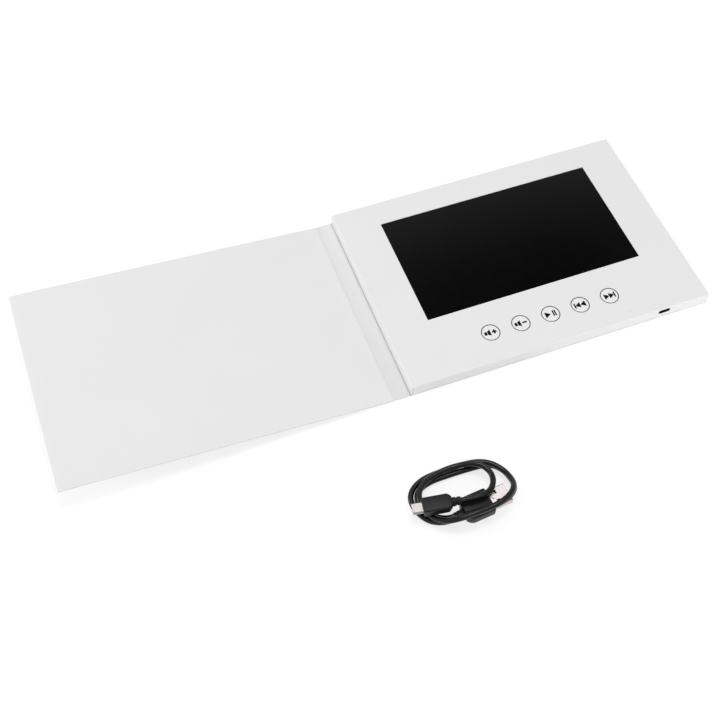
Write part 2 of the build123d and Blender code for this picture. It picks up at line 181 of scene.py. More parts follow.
def make_object(name, points, faces, smooth=True):
    """A mesh object from points in millimetres in the shared frame, and faces by index."""
    mesh = bpy.data.meshes.new(name)
    mesh.from_pydata((np.asarray(points, float) * MM).tolist(), [], [list(f) for f in faces])
    mesh.polygons.foreach_set("use_smooth", np.full(len(mesh.polygons), smooth))
    mesh.update()
    return in_scene(name, mesh)


def grid_faces(rows, columns, wrap=False):
    """Quads between neighbouring rows and columns; with wrap, the last column meets the first."""
    span = columns if wrap else columns - 1
    row, column = np.meshgrid(np.arange(rows - 1), np.arange(span), indexing="ij")
    after = (column + 1) % columns
    corners = (row * columns + column, row * columns + after,
               (row + 1) * columns + after, (row + 1) * columns + column)
    return np.stack(corners, axis=-1).reshape(-1, 4)


def hoop_faces(rows, columns):
    """Quads of a grid whose last row meets the first too, as a section carried round a loop."""
    return grid_faces(rows + 1, columns, wrap=True) % (rows * columns)


def edge_stops(low, high, radius, between):
    """Places along one side of a rounded box: dense where the edges turn, and between them either
    evenly spaced, by number, or where the list says."""
    turn = radius * np.tan(np.radians([45, 30, 15]))
    if isinstance(between, int):
        between = np.linspace(low + radius, high - radius, between + 1)[1:-1]
    ends = [low + radius], [high - radius]
    return np.concatenate([low + radius - turn, ends[0], between, ends[1],
                           (high - radius + turn)[::-1]])


def rounded_box(name, low, high, radius, pieces, bend):
    """A box with rounded edges: each point of a box's six grids is pulled back to the inner box
    and pushed out again by the radius along the line between them. bend moves the points."""
    low, high = np.asarray(low, float), np.asarray(high, float)
    stops = [edge_stops(low[i], high[i], radius, pieces[i]) for i in range(3)]
    points, faces, start = [], [], 0
    for axis in range(3):
        first, second = (axis + 1) % 3, (axis + 2) % 3
        for side in (low, high):
            one, two = np.meshgrid(stops[first], stops[second], indexing="ij")
            grid = np.full(one.shape + (3,), side)
            grid[..., first], grid[..., second] = one, two
            points.append(grid.reshape(-1, 3))
            # A grid's quads face along -axis as they come, which is outward on the low side
            quads = grid_faces(*one.shape) + start
            faces.append(quads if side is low else quads[:, ::-1])
            start += one.size
    points = np.concatenate(points)
    inner = np.clip(points, low + radius, high - radius)
    away = points - inner
    points = inner + radius * away / np.linalg.norm(away, axis=1, keepdims=True)
    # The grids share their borders: points that fall together are made one
    points, index = np.unique(np.round(points, 5), axis=0, return_inverse=True)
    return make_object(name, bend(points), index.reshape(-1)[np.concatenate(faces)])


def ring_section(half_width, half_height, corner):
    """Rounded rectangle: four quarter circles about the corner centres, in order round it."""
    angle = np.radians(np.linspace(0, 90, 6) + np.array([[0], [90], [180], [270]]))
    signs = np.array([(1, 1), (-1, 1), (-1, -1), (1, -1)])
    centres = signs * (half_width - corner, half_height - corner)
    circle = corner * np.stack([np.cos(angle), np.sin(angle)], axis=-1)
    return (centres[:, None, :] + circle).reshape(-1, 2)


def closed_tube(name, rings, tips, place):
    """A closed body through rings of points about the first axis. Each end closes on a point of
    that axis, at the distances in tips."""
    count = rings.shape[1]
    points = np.concatenate([rings.reshape(-1, 3), [[tip, 0, 0] for tip in tips]])
    here = np.arange(count)
    after = (here + 1) % count
    top = (len(rings) - 1) * count
    first, last = np.full(count, len(points) - 2), np.full(count, len(points) - 1)
    faces = grid_faces(len(rings), count, wrap=True).tolist()
    faces += np.column_stack([first, after, here]).tolist()
    faces += np.column_stack([last, here + top, after + top]).tolist()
    return make_object(name, place(points), faces)


def loft(name, stations, corner, place):
    """A closed body through rounded rectangles with one corner radius: each station is a distance
    along the plug, half the body's width there and half its height."""
    rings = []
    for along, half_width, half_height in stations:
        section = ring_section(half_width, half_height, corner)
        rings.append(np.column_stack([np.full(len(section), along), section]))
    return closed_tube(name, np.array(rings), (stations[0][0], stations[-1][0]), place)


def turned(name, profile, place, segments=64):
    """A body turned about its first axis: the profile's distances along the axis and its radii,
    carried round a circle. The ends lie on the axis."""
    profile = np.asarray(profile, float)
    angle = np.linspace(0, 2 * math.pi, segments, endpoint=False)
    along, radius = profile[1:-1, :1], profile[1:-1, 1:]
    rings = np.stack([np.repeat(along, segments, axis=1), radius * np.cos(angle),
                      radius * np.sin(angle)], axis=-1)
    return closed_tube(name, rings, (profile[0, 0], profile[-1, 0]), place)


def washer(name, centre, radii, heights):
    """A flat ring: a rectangle of two radii and two heights carried round an upright circle."""
    segments = 96
    angle = np.linspace(0, 2 * math.pi, segments, endpoint=False)
    radius = np.array(radii)[[0, 1, 1, 0], None]
    height = np.array(heights)[[0, 0, 1, 1], None]
    points = np.stack([centre[0] + radius * np.cos(angle), centre[1] + radius * np.sin(angle),
                       np.repeat(height, segments, axis=1)], axis=-1)
    return make_object(name, points.reshape(-1, 3), hoop_faces(4, segments), smooth=False)


def prisms(name, outlines, heights, place):
    """Flat printed shapes: each outline, taken anticlockwise, raised between two heights."""
    points, faces, start = [], [], 0
    for outline in outlines:
        count = len(outline)
        here = np.arange(count)
        after = (here + 1) % count
        points += [np.column_stack([outline, np.full(count, height)]) for height in heights]
        faces += [here[::-1] + start, here + count + start]
        faces += list(np.column_stack([here, after, after + count, here + count]) + start)
        start += 2 * count
    return make_object(name, place(np.concatenate(points)), faces, smooth=False)


# -------- materials


def add_node(tree, kind, inputs=None, **choices):
    """A shader node with its choices set, and each input given a value or linked to an output."""
    made = tree.nodes.new(kind)
    for key, value in choices.items():
        setattr(made, key, value)
    for key, value in (inputs or {}).items():
        if isinstance(value, bpy.types.NodeSocket):
            tree.links.new(value, made.inputs[key])
        else:
            made.inputs[key].default_value = value
    return made


def empty_tree(owner):
    """The shader nodes of a material or a world, with none in them yet."""
    owner.use_nodes = True
    owner.node_tree.nodes.clear()
    return owner.node_tree


def maths(tree, operation, one, two=0.0):
    """One step of arithmetic on two values or outputs."""
    return add_node(tree, "ShaderNodeMath", {0: one, 1: two}, operation=operation).outputs[0]


def scaled(colour, share):
    """A share of a colour, with the fourth number a colour socket takes."""
    return (*[c * share for c in colour[:3]], 1.0)


class Finish:
    """A Principled material whose colour, roughness and relief vary on object coordinates."""

    def __init__(self, name, **sockets):
        self.material = bpy.data.materials.new(name)
        self.material.use_nodes = True
        self.tree = self.material.node_tree
        self.shader = self.tree.nodes["Principled BSDF"]
        for key, value in sockets.items():
            self.shader.inputs[key.replace("_", " ")].default_value = value
        self.place = add_node(self.tree, "ShaderNodeTexCoord").outputs["Object"]
        self.height = None

    def node(self, kind, inputs=None, **choices):
        """A node in this material's tree."""
        return add_node(self.tree, kind, inputs, **choices)

    def maths(self, operation, one, two=0.0):
        """A step of arithmetic in this material's tree."""
        return maths(self.tree, operation, one, two)

    def axis(self, letter):
        """The X, Y or Z of the point being shaded, in metres."""
        return self.node("ShaderNodeSeparateXYZ", {0: self.place}).outputs[letter]

    def noise(self, size, detail=2.0, stretch=(1, 1, 1)):
        """Soft cloudy pattern whose blotches are about size millimetres across."""
        place = self.node("ShaderNodeMapping", {"Vector": self.place, "Scale": stretch})
        made = self.node("ShaderNodeTexNoise", {
            "Vector": place.outputs["Vector"], "Scale": 1 / (size * MM), "Detail": detail,
            "Roughness": 0.55})
        return made.outputs["Fac"]

    def spread(self, value, low, high, start=0.3, end=0.7, smooth=False):
        """Values from start to end, taken to low to high in a straight line or an S-curve."""
        made = self.node("ShaderNodeMapRange", {
            "Value": value, "From Min": start, "From Max": end, "To Min": low, "To Max": high},
            interpolation_type="SMOOTHSTEP" if smooth else "LINEAR")
        return made.outputs["Result"]

    def mix(self, factor, one, two):
        """Two colours by a factor. Sockets 6, 7 and output 2 are the mix node's for colours."""
        made = self.node("ShaderNodeMix", {0: factor, 6: one, 7: two}, data_type="RGBA")
        return made.outputs[2]

    def tint(self, pattern, colour, low, high):
        """A colour that runs from one share of itself to another as the pattern does."""
        return self.mix(self.spread(pattern, 0, 1), scaled(colour, low), scaled(colour, high))

    def surface(self, colour, roughness):
        """Gives the shader its colour and its roughness."""
        self.tree.links.new(colour, self.shader.inputs["Base Color"])
        self.tree.links.new(roughness, self.shader.inputs["Roughness"])

    def relief(self, height, depth, strength=1.0):
        """Bump of about depth millimetres where height goes from 0 to 1; calls add up."""
        inputs = {"Height": height, "Distance": depth * MM, "Strength": strength}
        if self.height is not None:
            inputs["Normal"] = self.height
        self.height = self.node("ShaderNodeBump", inputs).outputs["Normal"]
        self.tree.links.new(self.height, self.shader.inputs["Normal"])

    def line(self, letter, at, near, far):
        """1 on the plane where X, Y or Z is at, fading to 0 between two distances from it. at is
        an output or a number, and all are in metres."""
        off = self.maths("ABSOLUTE", self.maths("SUBTRACT", self.axis(letter), at))
        return self.spread(off, 1, 0, near, far, smooth=True)

    def band(self, crease):
        """1 along a crease at this X, in millimetres, fading out over a band of uneven width:
        where the crease's painted shade goes.
        """
        wander = self.spread(self.noise(13, detail=1, stretch=(0, 1, 0)), -0.9 * MM, 0.9 * MM)
        depth = self.spread(self.noise(9, detail=1, stretch=(0, 1, 0)), 0.25, 0.62)
        middle = self.maths("SUBTRACT", crease * MM, wander)
        return self.maths("MULTIPLY", self.line("X", middle, 0.1 * MM, 1.9 * MM), depth)

    def spot(self, centre, radius):
        """1 in a round spot of the surface, fading to 0 at its rim."""
        apart = self.node("ShaderNodeVectorMath", {0: self.place, 1: tuple(centre)},
                          operation="DISTANCE").outputs["Value"]
        return self.spread(apart, 1, 0, radius * 0.4 * MM, radius * MM, smooth=True)


def card_finish(name, white, spots=(), crease=None, front=1.0):
    """Satin laminated card: faint cloudiness, a fine orange-peel film and pressed-in spots, each
    darkened with painted shade. A crease gets a soft grey band of painted shade that wanders a
    little, and front is the card's tone at the block's front edge against its back edge: painted
    shade that darkens the card towards the front."""
    made = Finish(name, Coat_Weight=0.05, Coat_Roughness=0.3, Specular_IOR_Level=0.3)
    cloud = made.noise(38, detail=3)
    fibre = made.noise(0.9, detail=2, stretch=(1, 0.35, 1))
    shade = scaled(white, 0.90)
    tone = made.tint(cloud, white, 0.985, 1.0)
    tone = made.mix(made.spread(fibre, 0, 0.35), tone, scaled(white, 1.012))
    presses = [made.spot(from_block(centre) * MM, SPOT_R) for centre in spots]
    # Each pressed spot is darkened as well as dented: the darkening is painted shade of the dent.
    for press in presses:
        tone = made.mix(made.maths("MULTIPLY", press, 0.35), tone, shade)
    # The crease's grey band is painted shade: the shade that falls in the creased card's valley.
    if crease is not None:
        tone = made.mix(made.band(crease), tone, shade)
    # Painted shade: the card darkens towards the block's front edge, where the block shades the
    # spine.
    if front != 1.0:
        front_shade_ramp = made.spread(made.axis("Y"), 1, 0, BLOCK_FRONT * MM,
                             (BLOCK_FRONT + BLOCK_D) * MM)
        tone = made.mix(front_shade_ramp, tone, scaled(white, front))
    made.surface(tone, made.spread(made.noise(5, detail=3), 0.40, 0.52))
    made.relief(made.noise(0.55, detail=1), 0.004, 0.5)
    made.relief(made.noise(14, detail=2), 0.05, 0.35)
    for press in presses:
        made.relief(press, 0.05, 0.6)
    return made.material


def board_edge_finish(name, core):
    """Cut edge of the board: thin plies one over the other, with short fibres."""
    made = Finish(name, Specular_IOR_Level=0.25)
    plies = made.noise(0.5, detail=1, stretch=(0.05, 0.05, 4))
    fibres = made.noise(0.25, detail=2)
    tone = made.mix(made.spread(fibres, 0, 0.3), made.tint(plies, core, 0.86, 1.12),
                    scaled(core, 1.2))
    made.surface(tone, made.spread(fibres, 0.75, 0.95))
    made.relief(fibres, 0.02, 0.5)
    return made.material


def moulded_finish(name, colour, rough=(0.38, 0.5), grain=0.22, depth=0.004, seam=None, **sockets):
    """Moulded plastic or rubber with a fine eroded grain. seam is a parting line's height."""
    made = Finish(name, **sockets)
    cloud = made.noise(4, detail=3)
    fine = made.noise(grain, detail=2)
    gloss = made.maths("MULTIPLY", cloud, fine)
    made.surface(made.tint(cloud, colour, 0.85, 1.15), made.spread(gloss, *rough, 0.15, 0.4))
    made.relief(fine, depth, 0.6)
    if seam is not None:
        made.relief(made.line("Z", seam * MM, 0.03 * MM, 0.1 * MM), 0.05, 0.6)
    return made.material


def metal_finish(name, colour, rough=(0.2, 0.32)):
    """Rolled or plated metal with faint lines along the rolling."""
    made = Finish(name, Metallic=1.0)
    lines = made.noise(0.6, detail=3, stretch=(1, 6, 6))
    made.surface(made.tint(made.noise(3), colour, 0.94, 1.04), made.spread(lines, *rough))
    made.relief(lines, 0.003, 0.4)
    return made.material


def screen_finish():
    """The screen, off: a polished black sheet over a dark panel with a fine grid of dots."""
    made = Finish("screen_off", IOR=1.38, Specular_IOR_Level=0.5)
    cloud = made.noise(60, detail=1)
    dots = made.noise(0.25, detail=0)
    tone = made.mix(made.spread(cloud, 0, 1), (0.0012, 0.0012, 0.0014, 1),
                    (0.0022, 0.0022, 0.0025, 1))
    tone = made.mix(made.spread(dots, 0, 0.4), tone, (0.0028, 0.0026, 0.003, 1))
    made.surface(tone, made.spread(made.noise(9, detail=2), 0.05, 0.085))
    made.relief(made.noise(45, detail=1), 0.02, 0.2)
    return made.material


def ink_finish(ink):
    """Printed ink: slightly uneven black, a little duller than the laminated card."""
    made = Finish("printed_ink", Specular_IOR_Level=0.08)
    speck = made.noise(0.12, detail=2)
    made.surface(made.tint(speck, ink, 0.8, 1.6), made.spread(speck, 0.45, 0.6))
    return made.material


def dress(piece, *materials):
    """Puts materials on a piece or a CAD node in place of those it came with."""
    piece.data.materials.clear()
    for material in materials:
        piece.data.materials.append(material)


def dress_nodes(material, *names):
    """Puts a material on CAD nodes that stay in sight."""
    for name in names:
        dress(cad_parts[name], material)


def edge_faces(piece, limit=-math.inf):
    """Gives faces that point sideways, about 45 degrees or more, the piece's second material, and
    those whose middle is left of a place in millimetres its third."""
    faces = piece.data.polygons
    normals, middles = np.zeros((2, len(faces) * 3))
    faces.foreach_get("normal", normals)
    faces.foreach_get("center", middles)
    sideways = np.abs(normals[2::3]) < 0.7
    left = middles[::3] < limit * MM
    faces.foreach_set("material_index", np.where(left, 2, sideways).astype(int))
    piece.data.update()


# -------- charging lead

FLOOR_Z = 1.8  # height of the cord's middle where it lies on the table
USB_A_LEAVE = 3.8  # straight run out of the large plug's strain relief
MICRO_LEAVE = 8.5
# The strands, as X, Y and the height of the middle; a point without a height is on the table
LEAD_ROUTE = [
    # first turn, on the table: under the small plug, round the left, along the back
    (-19.9, -11.5, 2.2), (-24.0, -7.8), (-26.7, -3.2), (-27.7, 2.0), (-26.2, 6.8), (-22.5, 9.8),
    (-17.2, 11.6), (-11.0, 12.2), (-4.6, 12.2), (1.8, 12.2), (7.8, 12.0), (13.2, 11.7),
    (18.0, 11.4), (22.2, 10.2), (26.0, 7.4), (28.8, 3.4), (30.2, -1.4),
    # over the large plug
    (30.2, -6.6, 3.4), (28.2, -11.4, 6.2), (24.2, -15.2, 8.6), (19.0, -17.5, 9.4),
    (13.0, -18.5, 9.4), (7.0, -18.8, 9.3), (1.0, -18.6, 9.3), (-4.6, -18.4, 9.4),
    (-9.0, -17.9, 8.2),
    # second turn, outside the first
    (-13.2, -17.6, 6.8), (-17.4, -16.8, 5.3), (-21.6, -14.8, 3.3), (-25.9, -11.3), (-29.2, -6.4),
    (-31.1, -0.4), (-31.0, 5.4), (-28.1, 10.2), (-23.2, 13.5), (-17.6, 15.3), (-11.6, 15.9),
    (-5.4, 16.0), (0.6, 15.9), (6.6, 15.6, 2.8), (12.0, 14.1, 4.7), (17.2, 12.2, 5.6),
    # up onto the first turn, and over the large plug on top of it
    (21.6, 9.7, 5.6), (25.0, 6.3, 5.4), (27.8, 1.8, 5.4), (29.1, -3.2, 6.0), (28.8, -8.2, 8.6),
    (26.4, -12.8, 11.3), (22.4, -16.4, 12.8), (17.2, -18.8, 13.0), (11.0, -20.0, 12.8),
    (4.8, -20.4, 12.6), (-1.4, -20.5, 12.6), (-7.6, -20.4, 12.0),
    # third turn, on top of both, from the inside on the left to the outside along the back
    (-13.2, -19.7, 10.8), (-17.8, -18.0, 9.2), (-21.7, -14.8, 7.3), (-25.0, -9.8, 5.2),
    (-26.9, -4.2, 5.4), (-27.0, 1.4, 5.4), (-25.2, 6.5, 5.4), (-21.2, 10.3, 5.4),
    (-15.8, 12.9, 5.3), (-9.6, 14.3, 5.3), (-3.4, 14.9, 5.3), (2.8, 14.6, 5.6), (8.6, 13.2, 6.9),
    (13.4, 11.0, 7.9), (16.9, 7.8, 7.8), (18.9, 3.4, 7.6), (18.8, -1.4, 8.0), (16.5, -5.8, 8.8),
    (13.0, -9.0, 10.0), (8.2, -10.8, 10.9),
]


def plug_place(place, turn):
    """From a plug's own frame, metal shell along +X from its root, to the shared frame."""
    angle = math.radians(turn)
    spin = np.array([[math.cos(angle), -math.sin(angle), 0],
                     [math.sin(angle), math.cos(angle), 0], [0, 0, 1]])
    root = from_block((LEAD_MIDDLE[0] + place[0], LEAD_MIDDLE[1] + place[1], place[2]))
    return lambda points: np.asarray(points, float) @ spin.T + root


usb_a_frame = plug_place(USB_A_PLACE, USB_A_TURN)
micro_frame = plug_place(MICRO_PLACE, MICRO_TURN)


def lead_points():
    """The cord's route in millimetres, from the large plug's strain relief to the small plug's."""
    large = usb_a_frame([[-USB_A_BODY[0] - RELIEF_L - run, 0, 0] for run in (0, USB_A_LEAVE)])
    small = micro_frame([[-MICRO_BODY[0] - RELIEF_L - run, 0, 0] for run in (MICRO_LEAVE, 0)])
    route = np.array([(*point, FLOOR_Z)[:3] for point in LEAD_ROUTE])
    middle = from_block(route + (*LEAD_MIDDLE, 0))
    return np.concatenate([large, middle, small])


class BROCHURE_OT_lead_cord(bpy.types.Operator):
    """Lay the coiled cord"""

    bl_idname = "brochure.lead_cord"
    bl_label = "Cord"

    def execute(self, context):
        lead = context.scene.brochure_lead
        points = lead_points() * MM
        curve = bpy.data.curves.new("cord", "CURVE")
        curve.dimensions = "3D"
        spline = curve.splines.new("NURBS")
        spline.points.add(len(points) - 1)
        spline.points.foreach_set("co", np.column_stack([points, np.ones(len(points))]).ravel())
        spline.order_u = 3
        spline.use_endpoint_u = True
        curve.resolution_u = 10
        curve.bevel_depth = lead.cord / 2
        curve.bevel_resolution = 7
        curve.use_fill_caps = True
        cord = in_scene("cord", curve)
        curve.materials.append(
            moulded_finish("cord_jacket", lead.rubber, rough=(0.24, 0.31), grain=0.6, depth=0.002,
                           Specular_IOR_Level=0.36))
        plugs = plug_bodies(lead)
        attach(cord, "charging_lead")
        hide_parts("lead_cable")
        return {"FINISHED"}


def edge_steps(radius):
    """Distances from a face, close together where its rounded edge turns fastest."""
    return radius * (1 - np.cos(np.linspace(0, math.pi / 2, 6)))


def edge_inset(radius, along):
    """How far in a quarter circle's edge is at distances along from the face it rounds off."""
    return radius - np.sqrt(radius**2 - (radius - np.minimum(along, radius))**2)


def shell_end(edge, width, height):
    """Stations of a plug body's flat end, where the metal shell stands out of it."""
    along = edge_steps(edge)[::-1]
    inset = edge_inset(edge, along)
    return np.column_stack([-along, width / 2 - inset, height / 2 - inset])


def usb_a_stations():
    """The large plug's body: corners of 5 mm in plan at the cord's end, edges rounded by 0.9."""
    length, width, height = USB_A_BODY
    plan, edge = 5.0, 0.9
    along = np.concatenate([edge_steps(edge), np.linspace(1.2, plan, 9)])
    cord_end = np.column_stack([along - length, width / 2 - edge_inset(plan, along),
                                height / 2 - edge_inset(edge, along)])
    return np.concatenate([cord_end, shell_end(edge, width, height)])


def micro_stations():
    """The small plug's body: its shoulders run in by 1.6 mm at the cord's end."""
    length, width, height = MICRO_BODY
    edge, shoulder = 0.8, 1.6
    along = edge_steps(edge)[:-1]
    inset = edge_inset(edge, along)
    cord_end = np.column_stack([along, width / 2 - shoulder - inset, height / 2 - inset])
    slope = [(along, width / 2 - inset, height / 2) for along, inset in (
        (0.8, 1.45), (1.3, 0.85), (1.8, 0.4), (2.4, 0.1), (3.1, 0.0))]
    cord_end = np.concatenate([cord_end, slope]) - (length, 0, 0)
    return np.concatenate([cord_end, shell_end(edge, width, height)])


def relief_profile(start, radii):
    """A strain relief's radius along the plug: rounded rings, each bowed out by a sine, with
    narrow necks between them."""
    gap, bulge, groove = 0.4, 0.35, 0.45  # a neck's length in rings, and how far each draws in
    ring = RELIEF_L / (len(radii) + gap * (len(radii) - 1))
    bow = np.linspace(0, math.pi, 9)
    profile = [(start, 0)]
    for number, radius in enumerate(radii):
        near = start - number * (1 + gap) * ring
        across = radius - bulge * (1 - np.sin(bow))**2
        profile += zip(near - ring / 2 * (1 - np.cos(bow)), across)
        if number < len(radii) - 1:
            profile += [(near - (1 + gap * share) * ring, radius - groove) for share in (0.3, 0.7)]
    return [(start - RELIEF_L, 0)] + profile[::-1]


def plug_bodies(lead):
    """Both plugs' moulded bodies and strain reliefs."""
    made = []
    for name, stations, corner, radii, plug, place, root in (
        ("usb_a", usb_a_stations(), 1.1, (2.5, 2.3, 2.1), USB_A_BODY, usb_a_frame, USB_A_PLACE),
        ("micro", micro_stations(), 1.0, (2.75, 2.6), MICRO_BODY, micro_frame, MICRO_PLACE),
    ):
        mould = moulded_finish(f"{name}_mould", lead.mould, rough=(0.36, 0.46), seam=root[2],
                               Specular_IOR_Level=0.24)
        body = loft(f"{name}_body", stations, corner, place)
        relief = turned(f"{name}_relief", relief_profile(-plug[0], radii), place)
        for piece, node in ((body, f"{name}_plug_overmould"), (relief, f"{name}_strain_relief")):
            dress(piece, mould)
            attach(piece, "charging_lead")
            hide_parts(node)
            made.append(piece)
    return made


class BROCHURE_OT_lead_metal(bpy.types.Operator):
    """Finish the plugs' metal shells, tongues and contacts"""

    bl_idname = "brochure.lead_metal"
    bl_label = "Plug metal"

    def execute(self, context):
        lead = context.scene.brochure_lead
        satin = (0.28, 0.38)
        dress_nodes(metal_finish("nickel_plate", lead.nickel, satin), "usb_a_plug_shell")
        # Darker copy of the nickel on the small plug: painted shade.
        dress_nodes(metal_finish("brushed_steel", lead.steel, satin), "micro_plug_shell")
        dress_nodes(metal_finish("gold_flash", (0.83, 0.62, 0.27)), "usb_a_plug_contacts",
                    "micro_plug_contacts")
        dress_nodes(moulded_finish("plug_tongue", (0.03, 0.024, 0.02)), "usb_a_plug_tongue",
                    "micro_plug_insulator")
        heights = (USB_A_SHELL_TOP - 0.005, USB_A_SHELL_TOP + 0.012)
        seam = prisms("shell_seam", shell_seam(), heights, usb_a_frame)
        dress(seam, ink_finish((0.05, 0.04, 0.04)))
        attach(seam, "charging_lead")
        return {"FINISHED"}


def shell_seam():
    """The hooked joint near the root where the folded shell's edges meet, as a row of strips."""
    line = np.array([(1.1, 0.8), (1.6, 0.3), (1.5, -0.5), (2.4, -0.9)])
    half = 0.2
    run = np.diff(line, axis=0)
    across = run[:, ::-1] * (-half, half) / np.linalg.norm(run, axis=1, keepdims=True)
    start, end = line[:-1], line[1:]
    return np.stack([start - across, end - across, end + across, start + across], axis=1)


# -------- card case

CREASE_R = 0.16  # round core left in the card where it is creased
CREASE_DIP = CARD / 2 - CREASE_R


def crease_dip(from_axis, along):
    """How far the card's faces draw in beside a crease, from 0 to CREASE_DIP: a bell curve of the
    distance from the axis, whose width wanders along the crease as a sum of sines."""
    width, sway = 1.15, 0.28
    wander = np.sin(0.11 * along + 0.6) + 0.6 * np.sin(0.27 * along + 2.1)
    return CREASE_DIP * np.exp(-(from_axis / (width + sway * wander)) ** 2)


def cover_bend(crown):
    """The cover's points, flat from its crease along -X: thinned beside the crease, bowed by a low
    sine arch each way, then tilted up about the crease."""
    ends = 0.75  # the arch's height at the front and back edges, as a share of the middle's
    hinge = (-HINGE_OUT - SPINE_W, 0, CARD / 2)
    cos, sin = math.cos(COVER_TILT), math.sin(COVER_TILT)

    def bend(points):
        x, y, z = points.T
        arch = np.sin(math.pi * np.clip(-x / COVER_L, 0, 1))
        side = np.sin(math.pi * np.clip(y / BLOCK_D, 0, 1))
        z = z - z / (CARD / 2) * crease_dip(x, y) + crown * arch * (ends + (1 - ends) * side)
        return from_block(np.column_stack([x * cos + z * sin, y, z * cos - x * sin]) + hinge)

    return bend


class BROCHURE_OT_case(bpy.types.Operator):
    """Build the cover, the spine and the back"""

    bl_idname = "brochure.case"
    bl_label = "Card case"

    def execute(self, context):
        card = context.scene.brochure_card
        crease = from_block((-HINGE_OUT - SPINE_W, 0, 0))[0]
        white = card_finish("case_card", card.white, crease=crease)
        # The spine's card is darker, and darker still towards the front: painted shade from the
        # block.
        spine_white_shaded = card_finish("spine_card", card.spine, crease=crease, front=0.945)
        core = board_edge_finish("board_edge", card.core)
        # A grey strip of painted shadow in the crease at the block's foot, on the back sheet left
        # of the block.
        crease_shadow = board_edge_finish("glue_line", (0.5, 0.5, 0.5))
        plate = metal_finish("magnet_plate", (0.45, 0.45, 0.46))
        half, edge = CARD / 2, 0.08
        bend = cover_bend(card.crown / MM)
        clear = CREASE_R + 0.03  # the cover stops just short of the spine's round core
        # Rows are closer together within 7 mm of the crease, where the card thins
        across = np.concatenate([np.linspace(6 - COVER_L, -8, 48), np.linspace(-7, -0.5, 22)])
        cover = rounded_box("cover_sheet", (-COVER_L, 0, -half), (-clear, BLOCK_D, half), edge,
                            (across, 74, 1), bend)
        back = rounded_box("back_sheet", (CREASE_ROOM - HINGE_OUT, 0, 0), (BLOCK_W, BLOCK_D, CARD),
                           edge, (np.linspace(0, 205, 42), 20, 1), from_block)
        for piece, body, nodes, slot, materials in (
            (cover, "cover", ("cover_outer_ply", "cover_inner_ply"), "cover_card",
             (white, core, crease_shadow)),
            (back, "block", ("back_panel",), "card", (white, core, crease_shadow)),
            (spine_sheet(), "spine", ("spine_strip",), "spine_card", (spine_white_shaded,)),
            (cover_magnet(bend), "cover", ("cover_magnet",), "magnet", (plate,)),
        ):
            dress(piece, *materials)
            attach(piece, body)
            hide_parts(*nodes)
        edge_faces(cover)
        # What stands out left of the block is a grey line along the crease: painted shadow in the
        # gap at the block's foot
        edge_faces(back, from_block((0.02, 0, 0))[0])
        dress_nodes(plate, "speaker_magnet")
        return {"FINISHED"}


def cover_magnet(bend):
    """The magnet between the cover's plies: a flat disc turned about an upright axis over the
    opening sensor, bowed with the cover so that it stays inside it."""
    half, radius, edge = 0.15, 4.0, 0.05
    profile = [(-half, 0), (-half, radius - edge), (edge - half, radius), (half - edge, radius),
               (half, radius - edge), (half, 0)]
    along, across = -(SENSOR_X + HINGE_OUT), SENSOR_Y

    def place(points):
        return bend(points[:, [1, 2, 0]] + (along, across, 0))

    return turned("cover_magnet_disc", profile, place)


def spine_sheet():
    """The spine strip: its section, as thick as the card and drawn in to a round core about each
    crease's axis, carried from front to back with its ends rounded."""
    right, left = -HINGE_OUT, -HINGE_OUT - SPINE_W
    # Distances from a crease's axis, close together where the card is thinnest
    near = np.array([0.06, 0.14, 0.24, 0.38, 0.56, 0.8, 1.1, 1.5, 2.0, 2.6, 3.4])
    top = np.concatenate([right - near, left + near[::-1]])
    turn = np.linspace(-math.pi / 2, math.pi / 2, 9)[1:-1]
    end, corner = 0.12, 0.1  # how far along and how far in the ends are rounded
    first = np.array([0, 0.02, 0.06, end])
    depth = np.concatenate([first, np.linspace(1, BLOCK_D - 1, 147), BLOCK_D - first[::-1]])
    ends = np.clip(np.minimum(depth, BLOCK_D - depth) / end, 0, 1)[:, None]
    round_off = corner * (1 - np.sqrt(1 - (1 - ends) ** 2))
    across = np.concatenate([top, left - CREASE_R * np.cos(turn[::-1]), top[::-1],
                             right + CREASE_R * np.cos(turn)])
    dip = crease_dip(top - right, depth[:, None]) + crease_dip(top - left, depth[:, None])
    half = np.maximum(CARD / 2 - dip - round_off, 0.02)
    core = (CREASE_R - round_off) * np.sin(turn)
    height = CARD / 2 + np.concatenate([half, core[:, ::-1], -half[:, ::-1], core], axis=1)
    rows, count = len(depth), len(across)
    points = np.stack([np.tile(across, (rows, 1)), np.tile(depth[:, None], count), height],
                      axis=-1).reshape(-1, 3)
    faces = grid_faces(rows, count, wrap=True)[:, ::-1].tolist()
    faces += [range(count), range(len(points) - 1, len(points) - count - 1, -1)]
    return make_object("spine_sheet", from_block(points), faces)


# -------- face card


